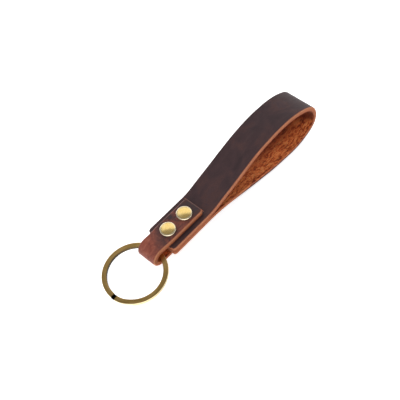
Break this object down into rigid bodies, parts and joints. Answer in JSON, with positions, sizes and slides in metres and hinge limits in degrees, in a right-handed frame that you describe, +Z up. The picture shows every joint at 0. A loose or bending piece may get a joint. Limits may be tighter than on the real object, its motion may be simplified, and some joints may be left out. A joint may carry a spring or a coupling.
{
  "type": "leather wrist keychain",
  "caption": "Leather strap bent into a hand loop, riveted in a folded tab that holds a flat-wire split key ring.",
  "frame": {"origin": "bottom centre of the bounding box, on the table that the keychain lies on", "axes": "+X from the split ring to the hand loop's tip, along the strap; +Y across the strap; +Z up from the table"},
  "size_m": [0.1427, 0.032, 0.0276],
  "materials": {
    "strap_leather": "waxed dark brown grain outside, napped orange-brown flesh side inside, natural cut edges",
    "tab_leather": "waxed dark brown grain, rubbed to red-brown round the fold",
    "antique_brass": "satin antique brass, darker inside",
    "polished_brass": "brushed pale brass caps",
    "plain_brass": "unpolished brass, hidden in the leather"
  },
  "bodies": {
    "strap": {"hand_loop": "strap_leather", "ring_tab": "tab_leather", "ring_rivet_cap": "polished_brass", "ring_rivet_socket": "plain_brass", "ring_rivet_stud": "plain_brass", "ring_rivet_back_cap": "polished_brass", "loop_rivet_cap": "polished_brass", "loop_rivet_socket": "plain_brass", "loop_rivet_stud": "plain_brass", "loop_rivet_back_cap": "polished_brass"},
    "ring": {"split_ring": "antique_brass"}
  },
  "joints": [
    {"name": "ring_swing", "type": "hinge", "parent": "strap", "child": "ring", "pos_m": [-0.04089, 0.0012, 0.00534], "axis": [-0.0819, 0.9966, 0], "range_deg": [-155, 160]}
  ]
}
